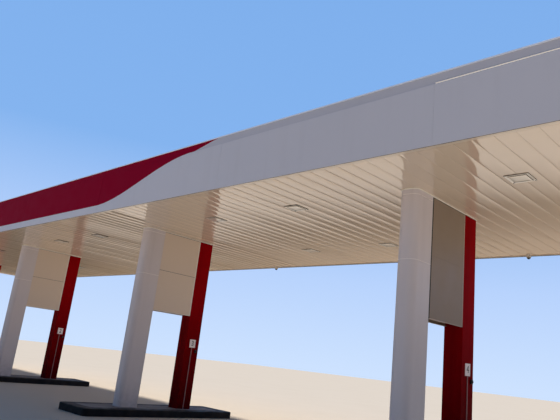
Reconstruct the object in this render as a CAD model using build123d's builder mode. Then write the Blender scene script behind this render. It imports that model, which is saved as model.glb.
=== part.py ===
from build123d import *
import os
from math import cos, radians, sin, tan

# Filling station canopy on four pump islands, in millimetres.
# X runs along the canopy, Y from the front to the rear and Z up from the ground,
# with the origin on the ground under the middle of the roof.

os.makedirs("parts", exist_ok=True)

# Driving sizes of the plan
island_count = 4
island_pitch = 8500
end_overhang = 4100
canopy_depth = 7500

# Driving heights above the ground
fascia_bottom = 5000
fascia_height = 1185
fascia_lip = 20
island_height = 180
panel_bottom = 2770

# Islands
island_width = 1400
island_end_margin = 1210
island_corner_radius = 120
island_edge_chamfer = 15

# Column line, seen from the side: white column, hanging panels, red column
column_setback = 1610
column_thickness = 384
white_column_depth = 565
white_column_radius = 140
panel_zone_depth = 1300
red_column_depth = 473
cladding_wall = 10
cladding_bend_radius = 6
panel_thickness = 12
panel_inset = 8
panel_return = 40
joint_reveal = 8
joint_depth = 4
white_joint_heights = (3710, 4900)
panel_joint_height = 3900
ceiling_trim_width = 12
ceiling_trim_height = 20

# Steel posts inside the cladding
post_size = 200
post_wall = 10
base_plate_size = 300
base_plate_thickness = 20

# Fascia: a face band, a set back upper strip and a coping
face_band_height = 996
fascia_thickness = 45
upper_strip_setback = 15
coping_height = 28
coping_setback = 5
coping_depth = 60
lip_depth = 90
stud_size = 50
stud_spacing = 1400

# Ceiling and the steel above it
soffit_thickness = 30
edge_beam_width = 150
edge_beam_height = 300
edge_beam_wall = 12
girder_width = 200
girder_flange = 16
girder_web = 12
roof_fall = 1.2
purlin_count = 6
purlin_height = 150
purlin_width = 65
purlin_wall = 6
gutter_depth = 110
gutter_wall = 4
deck_sheet = 5
deck_rib_height = 35
deck_rib_pitch = 333
deck_rib_top = 60
deck_rib_foot = 110
deck_clearance = 10
deck_overhang = 60

# Ceiling lights, cameras and the small pieces on the red columns
light_size = 390
light_rim = 45
light_rim_height = 16
lens_height = 8
lens_gap = 14
light_row_front = 1790
light_row_rear = 5450
light_offset = 1350
end_light_row_front = 1880
end_light_offset = 1900
camera_top_diameter = 104
camera_base_diameter = 116
camera_base_height = 85
camera_dome_radius = 45
camera_edge_distance = 190
camera_offset = -290
last_camera_offset = -10
duct_width = 25
duct_thickness = 14
duct_edge_distance = 225
duct_top = 1880
stop_box_edge_distance = 370
stop_box_width = 60
stop_box_height = 85
stop_box_depth = 42
stop_box_bottom = 1745
stop_button_radius = 18
stop_button_depth = 16

# Places worked out from the driving sizes
canopy_length = (island_count - 1) * island_pitch + 2 * end_overhang
half_length = canopy_length / 2
half_depth = canopy_depth / 2
island_x = [(i - (island_count - 1) / 2) * island_pitch for i in range(island_count)]
fascia_top = fascia_bottom + fascia_height
fold_height = fascia_bottom + face_band_height
soffit_bottom = fascia_bottom + fascia_lip
soffit_top = soffit_bottom + soffit_thickness
white_front = -half_depth + column_setback
white_rear = white_front + white_column_depth
red_front = white_rear + panel_zone_depth
red_rear = red_front + red_column_depth
white_middle = (white_front + white_rear) / 2
red_middle = (red_front + red_rear) / 2
island_front = white_front - island_end_margin
island_rear = red_rear + island_end_margin
island_length = island_rear - island_front
island_middle = (island_front + island_rear) / 2
stud_line_x = half_length - fascia_thickness
stud_line_y = half_depth - fascia_thickness
steel_x = stud_line_x - stud_size
steel_y = stud_line_y - stud_size
girder_end_y = steel_y - edge_beam_width
girder_low_top = soffit_top + edge_beam_height
fall_slope = tan(radians(roof_fall))
girder_high_top = girder_low_top + 2 * girder_end_y * fall_slope


def column_outline():
    """Plan of the white column: rounded front corners, square rear corners."""
    with BuildSketch() as outline:
        with Locations((0, white_middle)):
            Rectangle(column_thickness, white_column_depth)
        front_corners = outline.vertices().group_by(Axis.Y)[0]
        fillet(front_corners, radius=white_column_radius)
    return outline.sketch


def assembly_outline():
    """Plan of the two columns and the panels between them as one shape."""
    with BuildSketch() as outline:
        add(column_outline())
        with Locations((0, (white_rear + red_front) / 2)):
            Rectangle(column_thickness - 2 * panel_inset, panel_zone_depth)
        with Locations((0, red_middle)):
            Rectangle(column_thickness, red_column_depth)
    return outline.sketch


def moved_plane(x, z):
    """Level plane at one island's place along the canopy."""
    return Plane(origin=(x, 0, z), z_dir=(0, 0, 1))


def island(x):
    """Raised pump island, which carries the columns."""
    with BuildPart() as body:
        with BuildSketch(moved_plane(x, 0)):
            with Locations((0, island_middle)):
                RectangleRounded(island_width, island_length, island_corner_radius)
        extrude(amount=island_height)
        top_edges = body.faces().sort_by(Axis.Z)[-1].edges()
        chamfer(top_edges, length=island_edge_chamfer)
    return body.part


def white_column(x):
    """Hollow white cladding with level joints round it."""
    with BuildPart() as shell:
        with BuildSketch(moved_plane(x, island_height)):
            add(column_outline())
            offset(column_outline(), amount=-cladding_wall, mode=Mode.SUBTRACT)
        extrude(amount=soffit_bottom - island_height)
        for height in white_joint_heights:
            with BuildSketch(moved_plane(x, height)):
                add(column_outline())
                offset(column_outline(), amount=-joint_depth, mode=Mode.SUBTRACT)
            extrude(amount=joint_reveal, mode=Mode.SUBTRACT)
    return shell.part


def red_column(x):
    """Hollow red cladding, a box in plan with bent corners."""
    with BuildPart() as shell:
        with BuildSketch(moved_plane(x, island_height)):
            with Locations((0, red_middle)):
                RectangleRounded(column_thickness, red_column_depth, cladding_bend_radius)
                Rectangle(
                    column_thickness - 2 * cladding_wall,
                    red_column_depth - 2 * cladding_wall,
                    mode=Mode.SUBTRACT,
                )
        extrude(amount=soffit_bottom - island_height)
    return shell.part


def hanging_panels(x):
    """Two upright sheets between the columns, set in from their faces and folded at the foot."""
    outer = column_thickness / 2 - panel_inset
    with BuildPart() as sheets:
        with BuildSketch(Plane(origin=(x, white_rear, 0), x_dir=(1, 0, 0), z_dir=(0, -1, 0))):
            with BuildLine():
                Polyline(
                    (outer, soffit_bottom),
                    (outer, panel_bottom),
                    (outer - panel_return, panel_bottom),
                    (outer - panel_return, panel_bottom + panel_thickness),
                    (outer - panel_thickness, panel_bottom + panel_thickness),
                    (outer - panel_thickness, soffit_bottom),
                    close=True,
                )
            make_face()
        extrude(amount=-panel_zone_depth)
        with BuildSketch(moved_plane(x, panel_joint_height)):
            with Locations((outer, (white_rear + red_front) / 2)):
                Rectangle(2 * joint_depth, panel_zone_depth)
        extrude(amount=joint_reveal, mode=Mode.SUBTRACT)
        mirror(about=Plane(origin=(x, 0, 0), z_dir=(1, 0, 0)))
    return sheets.part


def ceiling_trim(x):
    """Moulding round the columns and panels, under the ceiling, mitred at its corners."""
    with BuildPart() as ring:
        with BuildSketch(moved_plane(x, soffit_bottom - ceiling_trim_height)):
            offset(assembly_outline(), amount=ceiling_trim_width, kind=Kind.INTERSECTION)
            add(assembly_outline(), mode=Mode.SUBTRACT)
        extrude(amount=ceiling_trim_height)
    return ring.part


def steel_posts(x):
    """Two square tubes on base plates, from the island to the girder."""
    with BuildPart() as posts:
        with BuildSketch(moved_plane(x, island_height)):
            with Locations((0, white_middle), (0, red_middle)):
                Rectangle(base_plate_size, base_plate_size)
        extrude(amount=base_plate_thickness)
        with BuildSketch(moved_plane(x, island_height + base_plate_thickness)):
            with Locations((0, white_middle), (0, red_middle)):
                Rectangle(post_size, post_size)
                Rectangle(post_size - 2 * post_wall, post_size - 2 * post_wall, mode=Mode.SUBTRACT)
        extrude(amount=soffit_top - island_height - base_plate_thickness)
    return posts.part


def girder(x, width):
    """Cross girder whose top flange falls from the front to the rear."""
    with BuildPart() as beam:
        with BuildSketch(Plane(origin=(x, 0, 0), x_dir=(0, 1, 0), z_dir=(1, 0, 0))):
            with BuildLine():
                Polyline(
                    (-girder_end_y, soffit_top),
                    (girder_end_y, soffit_top),
                    (girder_end_y, soffit_top + girder_flange),
                    (-girder_end_y, soffit_top + girder_flange),
                    close=True,
                )
            make_face()
            with BuildLine():
                Polyline(
                    (-girder_end_y, girder_high_top),
                    (girder_end_y, girder_low_top),
                    (girder_end_y, girder_low_top - girder_flange),
                    (-girder_end_y, girder_high_top - girder_flange),
                    close=True,
                )
            make_face()
        extrude(amount=width / 2, both=True)
        with BuildSketch(Plane(origin=(x, 0, 0), x_dir=(0, 1, 0), z_dir=(1, 0, 0))):
            with BuildLine():
                Polyline(
                    (-girder_end_y, soffit_top),
                    (girder_end_y, soffit_top),
                    (girder_end_y, girder_low_top),
                    (-girder_end_y, girder_high_top),
                    close=True,
                )
            make_face()
        extrude(amount=girder_web / 2, both=True)
    return beam.part


def fascia_side(half_run, reach, turn):
    """One side of the fascia, mitred at both ends, turned about the middle of the roof."""
    bands = [
        (fascia_bottom, fascia_lip, 0, lip_depth),
        (soffit_bottom, face_band_height - fascia_lip, 0, fascia_thickness),
        (
            fold_height,
            fascia_height - face_band_height - coping_height,
            upper_strip_setback,
            fascia_thickness - upper_strip_setback,
        ),
        (fascia_top - coping_height, coping_height, coping_setback, coping_depth),
    ]
    with BuildPart() as side:
        for bottom, height, setback, depth in bands:
            outer_run = half_run - setback
            outer_reach = reach - setback
            with BuildSketch(Plane.XY.rotated((0, 0, turn)).offset(bottom)):
                with BuildLine():
                    Polyline(
                        (-outer_run, -outer_reach),
                        (outer_run, -outer_reach),
                        (outer_run - depth, -outer_reach + depth),
                        (-outer_run + depth, -outer_reach + depth),
                        close=True,
                    )
                make_face()
            extrude(amount=height)
    return side.part


# Islands, columns, panels, trims, posts and girders, one of each for every island
for number, x in enumerate(island_x, start=1):
    repeated_pieces = {
        "island": island(x),
        "white_column": white_column(x),
        "red_column": red_column(x),
        "hanging_panels": hanging_panels(x),
        "ceiling_trim": ceiling_trim(x),
        "steel_posts": steel_posts(x),
        "girder": girder(x, girder_width),
    }
    for name, piece in repeated_pieces.items():
        piece.label = f"{name}_{number}"
        export_step(piece, f"parts/{name}_{number}.step")

# Fascia, one mitred length for each side
fascia_sides = {
    "front_fascia": fascia_side(half_length, half_depth, 0),
    "right_fascia": fascia_side(half_depth, half_length, 90),
    "rear_fascia": fascia_side(half_length, half_depth, 180),
    "left_fascia": fascia_side(half_depth, half_length, 270),
}
for name, piece in fascia_sides.items():
    piece.label = name
    export_step(piece, f"parts/{name}.step")

# Ceiling, a flat lining that rests on the fascia's lip and lets the posts through
with BuildPart() as soffit:
    with BuildSketch(Plane.XY.offset(soffit_bottom)):
        Rectangle(2 * stud_line_x, 2 * stud_line_y)
        post_places = [(x, y) for x in island_x for y in (white_middle, red_middle)]
        with Locations(*post_places):
            Rectangle(post_size, post_size, mode=Mode.SUBTRACT)
    extrude(amount=soffit_thickness)
soffit.part.label = "soffit"
export_step(soffit.part, "parts/soffit.step")

# Upright studs that hold the fascia to the steel
stud_count_x = int(2 * steel_x / stud_spacing) + 1
stud_count_y = int(2 * steel_y / stud_spacing)
stud_step_x = 2 * (steel_x - stud_size) / (stud_count_x - 1)
stud_step_y = 2 * (steel_y - edge_beam_width) / (stud_count_y - 1)
with BuildPart() as fascia_studs:
    with BuildSketch(Plane.XY.offset(soffit_top)):
        for side_y in (-1, 1):
            with Locations((0, side_y * (stud_line_y - stud_size / 2))):
                with GridLocations(stud_step_x, 1, stud_count_x, 1):
                    Rectangle(stud_size, stud_size)
        for side_x in (-1, 1):
            with Locations((side_x * (stud_line_x - stud_size / 2), 0)):
                with GridLocations(1, stud_step_y, 1, stud_count_y):
                    Rectangle(stud_size, stud_size)
    extrude(amount=fascia_top - coping_height - soffit_top)
fascia_studs.part.label = "fascia_studs"
export_step(fascia_studs.part, "parts/fascia_studs.step")

# Edge beams along the front and the rear, open channels facing inwards
with BuildPart() as edge_beams:
    with BuildSketch(Plane(origin=(-steel_x, 0, soffit_top), x_dir=(0, 1, 0), z_dir=(1, 0, 0))):
        with Locations((-steel_y + edge_beam_width / 2, edge_beam_height / 2)):
            Rectangle(edge_beam_width, edge_beam_height)
            Rectangle(
                edge_beam_width - 2 * edge_beam_wall,
                edge_beam_height - 2 * edge_beam_wall,
                mode=Mode.SUBTRACT,
            )
    extrude(amount=2 * steel_x)
    mirror(about=Plane.XZ)
edge_beams.part.label = "edge_beams"
export_step(edge_beams.part, "parts/edge_beams.step")

# End girders, narrower than those over the islands
end_girder_width = edge_beam_width
end_girder_x = steel_x - end_girder_width / 2
end_girders = Compound(
    label="end_girders",
    children=[girder(-end_girder_x, end_girder_width), girder(end_girder_x, end_girder_width)],
)
export_step(end_girders, "parts/end_girders.step")

# Purlins, channels that lie on the falling girders
slope_length = 2 * girder_end_y / cos(radians(roof_fall))
slope_down = (0, cos(radians(roof_fall)), -sin(radians(roof_fall)))
purlin_plane = Plane(
    origin=(-steel_x, -girder_end_y, girder_high_top), x_dir=slope_down, z_dir=(1, 0, 0)
)
purlin_step = (slope_length - 2 * purlin_width) / (purlin_count - 1)
with BuildPart() as purlins:
    with BuildSketch(purlin_plane):
        with Locations((slope_length / 2, purlin_height / 2)):
            with GridLocations(purlin_step, 1, purlin_count, 1):
                Rectangle(purlin_width, purlin_height)
        with Locations((slope_length / 2 + purlin_wall, purlin_height / 2)):
            with GridLocations(purlin_step, 1, purlin_count, 1):
                Rectangle(purlin_width, purlin_height - 2 * purlin_wall, mode=Mode.SUBTRACT)
    extrude(amount=2 * steel_x)
purlins.part.label = "purlins"
export_step(purlins.part, "parts/purlins.step")

# Gutter along the low side, on the rear edge beam
with BuildPart() as gutter:
    with BuildSketch(Plane(origin=(-steel_x, 0, girder_low_top), x_dir=(0, 1, 0), z_dir=(1, 0, 0))):
        with Locations((steel_y - edge_beam_width / 2, gutter_depth / 2)):
            Rectangle(edge_beam_width, gutter_depth)
        with Locations((steel_y - edge_beam_width / 2, gutter_depth / 2 + gutter_wall)):
            Rectangle(edge_beam_width - 2 * gutter_wall, gutter_depth, mode=Mode.SUBTRACT)
    extrude(amount=2 * steel_x)
gutter.part.label = "gutter"
export_step(gutter.part, "parts/gutter.step")

# Roof deck, a ribbed sheet on the purlins, with ribs running down the fall
deck_half_length = steel_x - deck_clearance
deck_rib_count = int(2 * deck_half_length / deck_rib_pitch)
deck_length = slope_length + (edge_beam_width - deck_clearance) + deck_overhang
deck_start = -(edge_beam_width - deck_clearance)
deck_plane = Plane(origin=(0, -girder_end_y, girder_high_top), x_dir=(-1, 0, 0), z_dir=slope_down)
deck_foot = purlin_height
with BuildPart() as roof_deck:
    with BuildSketch(deck_plane.offset(deck_start)):
        with Locations((0, deck_foot + deck_sheet / 2)):
            Rectangle(2 * deck_half_length, deck_sheet)
        for rib in range(deck_rib_count):
            rib_x = (rib - (deck_rib_count - 1) / 2) * deck_rib_pitch
            with BuildLine():
                Polyline(
                    (rib_x - deck_rib_foot / 2, deck_foot + deck_sheet),
                    (rib_x + deck_rib_foot / 2, deck_foot + deck_sheet),
                    (rib_x + deck_rib_top / 2, deck_foot + deck_rib_height),
                    (rib_x - deck_rib_top / 2, deck_foot + deck_rib_height),
                    close=True,
                )
            make_face()
    extrude(amount=deck_length)
roof_deck.part.label = "roof_deck"
export_step(roof_deck.part, "parts/roof_deck.step")

# Ceiling lights: pairs in every bay and one column of them past the end islands
bay_middles = [(a + b) / 2 for a, b in zip(island_x, island_x[1:])]
bay_light_x = [middle + side * light_offset for middle in bay_middles for side in (-1, 1)]
end_light_x = [island_x[0] - end_light_offset, island_x[-1] + end_light_offset]
bay_light_rows = (light_row_front, light_row_rear)
end_light_rows = (end_light_row_front, light_row_rear)
light_places = [(x, -half_depth + row) for x in bay_light_x for row in bay_light_rows]
light_places += [(x, -half_depth + row) for x in end_light_x for row in end_light_rows]
with BuildPart() as light_frames:
    with BuildSketch(Plane.XY.offset(soffit_bottom - light_rim_height)):
        with Locations(*light_places):
            Rectangle(light_size, light_size)
            Rectangle(light_size - 2 * light_rim, light_size - 2 * light_rim, mode=Mode.SUBTRACT)
    extrude(amount=light_rim_height)
light_frames.part.label = "light_frames"
export_step(light_frames.part, "parts/light_frames.step")

lens_size = light_size - 2 * light_rim - 2 * lens_gap
with BuildPart() as light_lenses:
    with BuildSketch(Plane.XY.offset(soffit_bottom - lens_height)):
        with Locations(*light_places):
            Rectangle(lens_size, lens_size)
    extrude(amount=lens_height)
light_lenses.part.label = "light_lenses"
export_step(light_lenses.part, "parts/light_lenses.step")

# Dome cameras under the rear edge, one for each island, on bases that flare downwards
camera_x = [x + camera_offset for x in island_x[:-1]] + [island_x[-1] + last_camera_offset]
camera_y = half_depth - camera_edge_distance
with BuildPart() as dome_cameras:
    for x in camera_x:
        with BuildSketch(Plane(origin=(x, camera_y, soffit_bottom), x_dir=(1, 0, 0), z_dir=(0, -1, 0))):
            with BuildLine():
                Polyline(
                    (0, -camera_base_height - camera_dome_radius),
                    (0, 0),
                    (camera_top_diameter / 2, 0),
                    (camera_base_diameter / 2, -camera_base_height),
                    (camera_dome_radius, -camera_base_height),
                )
                CenterArc((0, -camera_base_height), camera_dome_radius, 0, -90)
            make_face()
        revolve(axis=Axis((x, camera_y, 0), (0, 0, 1)))
dome_cameras.part.label = "dome_cameras"
export_step(dome_cameras.part, "parts/dome_cameras.step")

# Stop buttons and cable ducts on the right face of the red columns
duct_y = red_front + duct_edge_distance
stop_box_y = red_front + stop_box_edge_distance
with BuildPart() as cable_ducts:
    for x in island_x:
        with BuildSketch(moved_plane(x + column_thickness / 2 + duct_thickness / 2, island_height)):
            with Locations((0, duct_y)):
                Rectangle(duct_thickness, duct_width)
        extrude(amount=duct_top - island_height)
cable_ducts.part.label = "cable_ducts"
export_step(cable_ducts.part, "parts/cable_ducts.step")

with BuildPart() as stop_buttons:
    for x in island_x:
        face = Plane(
            origin=(x + column_thickness / 2, stop_box_y, stop_box_bottom + stop_box_height / 2),
            x_dir=(0, 1, 0),
            z_dir=(1, 0, 0),
        )
        with BuildSketch(face):
            Rectangle(stop_box_width, stop_box_height)
        extrude(amount=stop_box_depth)
        with BuildSketch(face.offset(stop_box_depth)):
            Circle(stop_button_radius)
        extrude(amount=stop_button_depth)
stop_buttons.part.label = "stop_buttons"
export_step(stop_buttons.part, "parts/stop_buttons.step")
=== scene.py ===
import math
import random

import bpy
from mathutils import Matrix, Vector


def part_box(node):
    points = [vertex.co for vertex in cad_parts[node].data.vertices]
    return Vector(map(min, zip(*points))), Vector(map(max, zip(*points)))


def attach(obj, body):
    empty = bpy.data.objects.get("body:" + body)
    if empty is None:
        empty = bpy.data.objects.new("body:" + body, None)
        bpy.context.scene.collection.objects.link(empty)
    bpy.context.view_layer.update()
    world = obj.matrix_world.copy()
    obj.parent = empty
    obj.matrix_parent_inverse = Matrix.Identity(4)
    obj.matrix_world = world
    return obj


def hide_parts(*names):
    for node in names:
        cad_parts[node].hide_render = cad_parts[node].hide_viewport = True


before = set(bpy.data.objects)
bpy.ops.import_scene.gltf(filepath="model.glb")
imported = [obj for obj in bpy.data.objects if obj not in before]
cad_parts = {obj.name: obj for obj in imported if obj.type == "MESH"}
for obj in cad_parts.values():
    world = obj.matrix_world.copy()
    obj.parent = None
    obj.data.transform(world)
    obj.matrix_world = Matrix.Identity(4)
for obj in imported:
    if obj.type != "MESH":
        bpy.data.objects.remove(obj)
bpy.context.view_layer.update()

# Filling station canopy: its finishes and fine detail, in metres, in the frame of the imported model.

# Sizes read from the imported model
ISLAND_COUNT = 4
SOFFIT_LOW, SOFFIT_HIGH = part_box("soffit")
FASCIA_LOW, FASCIA_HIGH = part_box("front_fascia")
HALF_LENGTH = FASCIA_HIGH.x
HALF_DEPTH = -FASCIA_LOW.y
FASCIA_BOTTOM = FASCIA_LOW.z
FASCIA_TOP = FASCIA_HIGH.z
CEILING = SOFFIT_LOW.z
WHITE_BOXES = [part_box(f"white_column_{i}") for i in range(1, ISLAND_COUNT + 1)]
RED_BOXES = [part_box(f"red_column_{i}") for i in range(1, ISLAND_COUNT + 1)]
PANEL_BOXES = [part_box(f"hanging_panels_{i}") for i in range(1, ISLAND_COUNT + 1)]
ISLAND_BOXES = [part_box(f"island_{i}") for i in range(1, ISLAND_COUNT + 1)]

# Fascia profile: distances in from the outer face and heights above the fascia's lower edge
FOLD_RISE = 0.996
STRIP_INSET = 0.015
COPING_HEIGHT = 0.028
COPING_INSET = 0.005
COPING_DEPTH = 0.060
SHEET_INSET = 0.045
LIP_RUN = 0.090
LIP_HEIGHT = 0.020

# Fascia joints, counted from the one that shows in the photograph
JOINT_PLACE = 14.12
JOINT_PITCH = 4.88
JOINT_WIDTH = 0.004
JOINT_DEPTH = 0.003
FASCIA_STEP = 0.20

# Red area at the left of the front and the rear, along X and up from the fascia's lower edge
RED_BAND_RISE = 0.205
RED_CURVE_START = 4.25
RED_CURVE_END = 8.25
RED_TIP_RUN = 0.92

# Ceiling planks: a crown's rise and power on the left and right of each, and where they hang flat or loose
PLANK_PITCH = 0.30
PLANK_GAP = 0.004
PLANK_CROWNS = ((0.0034, 6), (0.0074, 3))
PLANK_EDGE = 0.003
PLANK_WALL = 0.016
PLANK_SHIFT = -0.025
FLAT_PLANKS_FROM = 13.0
LOOSE_PLANKS_TO = 5.5
LOOSE_TILT = 3
DARK_SPACE_RISE = 0.024

# Ceiling lights
LIGHT_HALF = 0.195
LIGHT_DROP = 0.010
RIM_WIDTH = 0.045
LENS_GAP = 0.006
CLIP_SPOTS = ((0.016, 0.009), (0.044, 0.010))

# Number plates
PLATE_PLACE = 0.135
PLATE_WIDTH = 0.21
PLATE_HEIGHTS = (1.885, 2.115)
NUMBER_SIZE = 0.20

# Deck screws
SCREW_PITCH = 0.333
SCREW_ROWS = 6
SCREW_EDGE = 0.04
DECK_FALL = math.tan(math.radians(1.2))

# Dome cameras
CAMERA_FOOT = -0.085
CAMERA_DOME_RADIUS = 0.045

# Stop buttons
SWITCH_DEPTH = 0.042

# Kerb
KERB_RADIUS = 0.12
KERB_BAND = 0.30

# Camera worked out from the photograph's straight edges
CAMERA_PLACE = (18.056, -10.603, 1.73)
CAMERA_YAW = -45.17
CAMERA_PITCH = 15.05
CAMERA_ROLL = 6.51
FOCAL_PIXELS = 566.1
PHOTO_WIDTH = 560
SENSOR_WIDTH = 36.0

# Sun and sky
SUN_TRAVEL = (0.12, -0.39, -1.0)
SUN_STRENGTH = 4.8
SUN_SPREAD = 8
SKY_STRENGTH = 1.0
SKY_BRIGHT_SIDE = (-0.7, 0.7, 0.0)

# Studio flags and floor
FLAG_RUN = 90.0
FLAG_HEIGHT = 7.0
FLAG_UNDER_Y = (-6.1, 1.8)
FLAG_REAR = 32.0
FLAG_LEFT_X = (-24.0, -16.5)
FLAG_LEFT_FRONT = -20.0
FLOOR_REACH = 150.0


def srgb(red, green, blue):
    """Linear colour for three display values from 0 to 255."""
    linear = []
    for value in (red, green, blue):
        share = value / 255
        linear.append(share / 12.92 if share <= 0.04045 else ((share + 0.055) / 1.055) ** 2.4)
    return (*linear, 1.0)


def darker(colour, share):
    return (colour[0] * share, colour[1] * share, colour[2] * share, 1.0)


# Camera

def add_camera():
    """Camera at the photograph's place and angle."""
    yaw, pitch, roll = (math.radians(a) for a in (CAMERA_YAW, CAMERA_PITCH, CAMERA_ROLL))
    ahead = Vector((math.sin(yaw) * math.cos(pitch), math.cos(yaw) * math.cos(pitch), math.sin(pitch)))
    level_right = Vector((math.cos(yaw), -math.sin(yaw), 0))
    level_up = level_right.cross(ahead)
    right = math.cos(roll) * level_right + math.sin(roll) * level_up
    up = -math.sin(roll) * level_right + math.cos(roll) * level_up
    data = bpy.data.cameras.new("photo_camera")
    data.sensor_fit = "HORIZONTAL"
    data.sensor_width = SENSOR_WIDTH
    data.lens = FOCAL_PIXELS / PHOTO_WIDTH * SENSOR_WIDTH
    data.clip_end = 500
    camera = bpy.data.objects.new("photo_camera", data)
    turn = Matrix((right, up, -ahead)).transposed().to_4x4()
    camera.matrix_world = Matrix.Translation(CAMERA_PLACE) @ turn
    bpy.context.scene.collection.objects.link(camera)
    bpy.context.scene.camera = camera


# Materials

class Finish:
    """A procedural material on the Principled shader, in object coordinates."""

    def __init__(self, name, colour, roughness, metallic=0.0, coat=0.0, coat_roughness=0.06, specular=0.5):
        self.material = bpy.data.materials.new(name)
        self.material.use_nodes = True
        self.nodes = self.material.node_tree.nodes
        self.links = self.material.node_tree.links
        self.shader = self.nodes["Principled BSDF"]
        self.shader.inputs["Base Color"].default_value = colour
        self.shader.inputs["Roughness"].default_value = roughness
        self.shader.inputs["Metallic"].default_value = metallic
        self.shader.inputs["Specular IOR Level"].default_value = specular
        self.shader.inputs["Coat Weight"].default_value = coat
        self.shader.inputs["Coat Roughness"].default_value = coat_roughness
        self.place = self.nodes.new("ShaderNodeTexCoord").outputs["Object"]
        self.colour = None
        self.base = colour

    def stretched(self, scale):
        """Object coordinates scaled by a different factor along each axis."""
        mapping = self.nodes.new("ShaderNodeMapping")
        mapping.inputs["Scale"].default_value = scale
        self.links.new(self.place, mapping.inputs["Vector"])
        return mapping.outputs["Vector"]

    def noise(self, scale, detail=3.0, stretch=(1, 1, 1), rough=0.5):
        """Noise from 0 to 1."""
        texture = self.nodes.new("ShaderNodeTexNoise")
        texture.inputs["Scale"].default_value = scale
        texture.inputs["Detail"].default_value = detail
        texture.inputs["Roughness"].default_value = rough
        self.links.new(self.stretched(stretch), texture.inputs["Vector"])
        return texture.outputs["Fac"]

    def ramp(self, value, low, high, to_low=0.0, to_high=1.0):
        """Value spread from low..high to to_low..to_high, held at the ends."""
        spread = self.nodes.new("ShaderNodeMapRange")
        spread.clamp = True
        for socket, number in zip(("From Min", "From Max", "To Min", "To Max"), (low, high, to_low, to_high)):
            spread.inputs[socket].default_value = number
        self.links.new(value, spread.inputs["Value"])
        return spread.outputs["Result"]

    def height(self):
        """Height above the ground, in metres."""
        split = self.nodes.new("ShaderNodeSeparateXYZ")
        self.links.new(self.place, split.inputs["Vector"])
        return split.outputs["Z"]

    def times(self, first, second):
        product = self.nodes.new("ShaderNodeMath")
        product.operation = "MULTIPLY"
        self.links.new(first, product.inputs[0])
        self.links.new(second, product.inputs[1])
        return product.outputs["Value"]

    def tint(self, factor, colour):
        """Mixes a colour over what is there, by a factor from 0 to 1."""
        mix = self.nodes.new("ShaderNodeMix")
        mix.data_type = "RGBA"
        self.links.new(factor, mix.inputs["Factor"])
        if self.colour is None:
            mix.inputs[6].default_value = self.base
        else:
            self.links.new(self.colour, mix.inputs[6])
        mix.inputs[7].default_value = colour
        self.colour = mix.outputs[2]
        self.links.new(self.colour, self.shader.inputs["Base Color"])

    def roughen(self, factor, low, high):
        """Roughness that varies with a factor."""
        self.links.new(self.ramp(factor, 0.3, 0.7, low, high), self.shader.inputs["Roughness"])

    def bump(self, value, strength, distance):
        """Relief on the surface, over what relief is there."""
        relief = self.nodes.new("ShaderNodeBump")
        relief.inputs["Strength"].default_value = strength
        relief.inputs["Distance"].default_value = distance
        self.links.new(value, relief.inputs["Height"])
        socket = self.shader.inputs["Normal"]
        if socket.is_linked:
            self.links.new(socket.links[0].from_socket, relief.inputs["Normal"])
        self.links.new(relief.outputs["Normal"], socket)


def coated_sheet(
    name, colour, roughness, dust_and_shade, soiling_and_shade=0.3, soiled_and_shaded_to=0.9, even=0.0, coat=0.1, metallic=0.0, specular=0.5
):
    """Factory coated sheet: faint tone shifts, rain streaks and a tint that fades out upward from the foot,
    which is dust on most sheets and painted shade on the red columns.
    """
    finish = Finish(name, colour, roughness, metallic=metallic, coat=coat, specular=specular)
    finish.tint(finish.ramp(finish.noise(0.35, 2.0), 0.35, 0.7, 0.0, 0.5), darker(colour, 0.93))
    streaks = finish.ramp(finish.noise(4.0, 6.0, (1, 1, 0.06)), 0.52, 0.85, 0.0, 0.5 * soiling_and_shade)
    finish.tint(streaks, dust_and_shade)
    # Tint low down: dust, and on the red columns painted shade of the dimmer light near the ground.
    low_dust_and_shade = finish.ramp(finish.height(), 0.18, soiled_and_shaded_to, soiling_and_shade, 0.0)
    finish.tint(finish.times(low_dust_and_shade, finish.ramp(finish.noise(9.0, 5.0), 0.35, 0.65, even, 1.0)), dust_and_shade)
    finish.roughen(finish.noise(3.0, 5.0), roughness - 0.04, roughness + 0.08)
    finish.bump(finish.noise(180.0, 2.0), 0.04, 0.0005)
    return finish.material


def ceiling_paint():
    """Glossy cream coated planks with a soft ripple in the sheet."""
    cream = srgb(240, 220, 197)
    finish = Finish("ceiling_cream_paint", cream, 0.45, coat=1.0, coat_roughness=0.06, specular=0.0)
    finish.shader.inputs["Coat IOR"].default_value = 2.0
    shade = finish.ramp(finish.noise(0.6, 3.0, (1.0, 0.25, 1.0)), 0.4, 0.7, 0.0, 0.5)
    finish.tint(shade, srgb(230, 209, 184))
    finish.roughen(finish.noise(2.2, 4.0), 0.4, 0.5)
    finish.bump(finish.noise(1.5, 1.5, (0.35, 1.0, 1.0)), 1.0, 0.028)
    finish.bump(finish.noise(220.0, 2.0), 0.03, 0.0004)
    return finish.material


def seam_shadow():
    """Painted shade in the dark gap above the planks, also used on the fascia's drip edges."""
    finish = Finish("ceiling_gap_painted_shade", srgb(64, 54, 44), 0.8)
    finish.tint(finish.ramp(finish.noise(6.0), 0.4, 0.7), srgb(42, 36, 30))
    return finish.material


def kerb_paint():
    """Concrete painted near black, scuffed to grey in small patches and dusty on top."""
    black = srgb(22, 20, 23)
    finish = Finish("island_kerb_paint", black, 0.62, specular=0.3)
    finish.tint(finish.ramp(finish.noise(2.0, 6.0), 0.42, 0.72, 0.0, 0.6), srgb(36, 34, 36))
    finish.tint(finish.ramp(finish.noise(38.0, 8.0, rough=0.7), 0.62, 0.76, 0.0, 0.6), srgb(84, 80, 78))
    on_top = finish.ramp(finish.height(), 0.150, 0.179)
    dusty = finish.times(on_top, finish.ramp(finish.noise(1.4, 7.0), 0.3, 0.7, 0.1, 0.5))
    finish.tint(dusty, srgb(62, 60, 62))
    finish.roughen(finish.noise(5.0, 5.0), 0.5, 0.85)
    finish.bump(finish.noise(60.0, 8.0, rough=0.7), 0.5, 0.003)
    finish.bump(finish.noise(9.0, 3.0), 0.4, 0.006)
    return finish.material


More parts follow.
